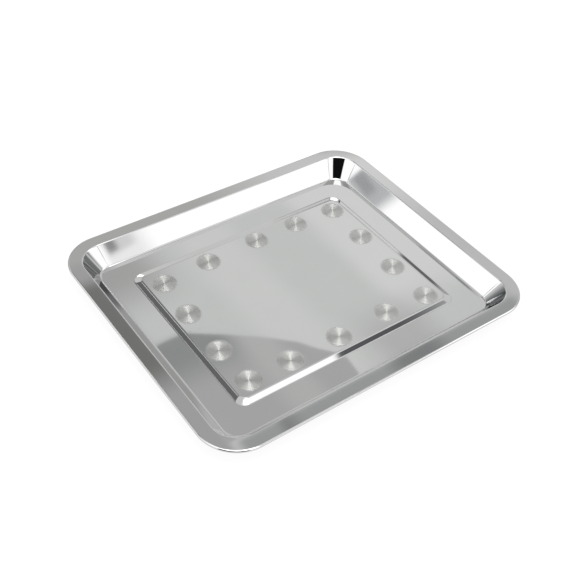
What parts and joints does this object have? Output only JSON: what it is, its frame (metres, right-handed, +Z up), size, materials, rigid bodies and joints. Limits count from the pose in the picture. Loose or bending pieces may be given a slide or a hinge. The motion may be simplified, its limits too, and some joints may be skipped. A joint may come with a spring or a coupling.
{
  "type": "pill counting tray",
  "caption": "Shallow rectangular pressed-steel tray with sloping walls, a flat flange, a rolled lip and a low raised panel in its floor.",
  "frame": {"origin": "on the table surface under the middle of the tray", "axes": "+X along the long side, +Y along the short side, +Z up out of the tray"},
  "size_m": [0.36, 0.302, 0.02],
  "materials": {
    "polished_steel": "bright rolled stainless steel, near mirror, with circular spot brushing round the panel"
  },
  "bodies": {
    "root": {"tray_sheet": "polished_steel"}
  },
  "joints": []
}
